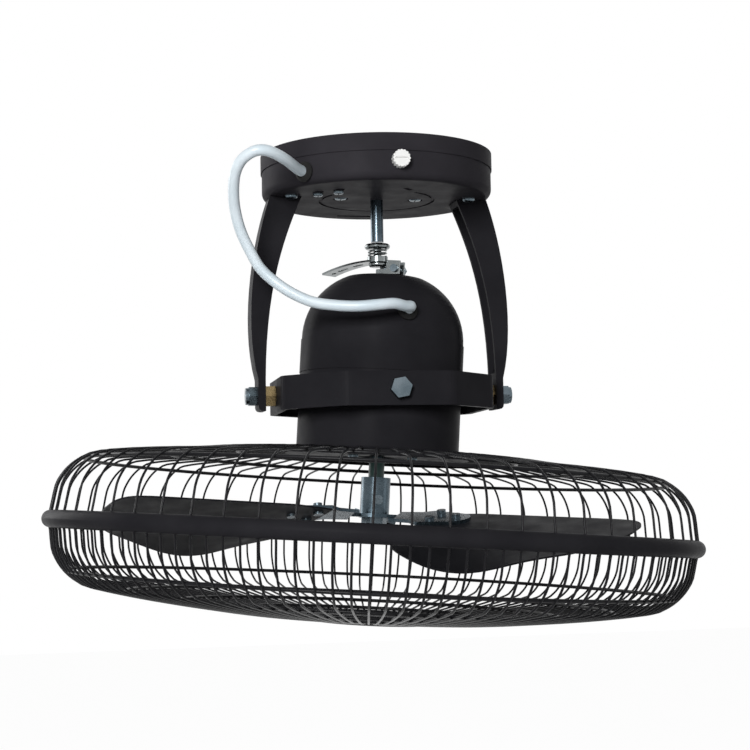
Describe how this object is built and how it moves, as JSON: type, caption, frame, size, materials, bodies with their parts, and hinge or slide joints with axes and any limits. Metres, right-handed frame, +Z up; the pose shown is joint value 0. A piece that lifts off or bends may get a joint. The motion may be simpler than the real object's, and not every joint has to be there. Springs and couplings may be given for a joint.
{
  "type": "orbital ceiling fan",
  "caption": "Ceiling fan in a wire guard that hangs in a gimbal ring under a round canopy, with a crank on top that swings the whole head round in a small circle.",
  "frame": {"origin": "centre of the canopy's face against the ceiling", "axes": "+Z up into the ceiling, X along the two side pivots of the gimbal ring, -Y towards the front pivot bolt and the thumb screw"},
  "size_m": [0.464, 0.4651, 0.3382],
  "materials": {
    "black_paint": "satin black paint",
    "guard_black": "glossy black coating on wire",
    "blade_charcoal": "satin charcoal paint on sheet metal",
    "zinc_steel": "zinc plated",
    "bright_steel": "turned bright",
    "nickel_plate": "nickel plated pressed steel",
    "brass": "turned",
    "white_cable": "soft white cable sheath",
    "black_rubber": "moulded",
    "white_nylon": "moulded",
    "terminal_plastic": "moulded",
    "laminations": "stacked and bare",
    "windings": "enamelled copper"
  },
  "bodies": {
    "bracket": {"ceiling_plate": "black_paint", "canopy_cover": "black_paint", "hanger_bar": "zinc_steel", "hanger_posts": "zinc_steel", "post_bolts": "zinc_steel", "cover_screws": "zinc_steel", "canopy_knob": "white_nylon", "earth_screws": "zinc_steel", "terminal_block": "terminal_plastic", "arm_left": "black_paint", "arm_right": "black_paint", "arm_screws": "zinc_steel", "drop_rod": "bright_steel", "rod_nut": "zinc_steel", "canopy_gland": "black_rubber", "supply_lead_upper": "white_cable", "side_bolts": "zinc_steel", "side_nuts": "zinc_steel", "side_bushes": "brass"},
    "gimbal": {"gimbal_ring": "black_paint"},
    "motor": {"upper_dome": "black_paint", "lower_housing": "black_paint", "bearing_plate": "zinc_steel", "upper_bearing": "bright_steel", "lower_bearing": "bright_steel", "stator_core": "laminations", "stator_windings": "windings", "run_capacitor": "terminal_plastic", "orbit_motor": "zinc_steel", "orbit_motor_posts": "zinc_steel", "cross_bolts": "zinc_steel", "cross_bushes": "brass", "dome_gland": "black_rubber", "supply_lead_lower": "white_cable", "rear_guard_plate": "black_paint", "rear_guard_wires": "guard_black", "rear_guard_rings": "guard_black", "guard_screws": "zinc_steel", "guard_rim": "black_paint", "front_guard_wires": "guard_black", "front_guard_rings": "guard_black", "front_guard_cap": "black_paint"},
    "rotor": {"rotor_shaft": "bright_steel", "rotor_core": "laminations", "hub_sleeve": "nickel_plate", "hub_screw": "zinc_steel", "blade_spider": "nickel_plate", "hub_nut": "zinc_steel", "blade_1": "blade_charcoal", "blade_2": "blade_charcoal", "blade_3": "blade_charcoal", "blade_rivets": "zinc_steel"},
    "crank": {"crank_shaft": "bright_steel", "crank_plate": "nickel_plate", "crank_clamp": "nickel_plate", "clamp_screw": "zinc_steel", "spring_cup": "nickel_plate", "crank_spring": "nickel_plate", "eye_collar": "nickel_plate", "eye_head": "nickel_plate"}
  },
  "joints": [
    {"name": "gimbal_tilt", "type": "hinge", "parent": "bracket", "child": "gimbal", "pos_m": [0, 0, -0.1735], "axis": [1, 0, 0], "range_deg": [-3.1, 5.1], "deforming": ["supply_lead_upper"]},
    {"name": "motor_tilt", "type": "hinge", "parent": "gimbal", "child": "motor", "pos_m": [0, 0, -0.1735], "axis": [0, 0.9998, -0.0175], "range_deg": [-8.1, 0.1], "deforming": ["supply_lead_lower"]},
    {"name": "blade_spin", "type": "hinge", "parent": "motor", "child": "rotor", "pos_m": [0, 0, -0.1735], "axis": [0.0698, 0.0174, 0.9974], "continuous": true},
    {"name": "crank_spin", "type": "hinge", "parent": "motor", "child": "crank", "pos_m": [0, 0, -0.1735], "axis": [0.0698, 0.0174, 0.9974], "continuous": true}
  ]
}
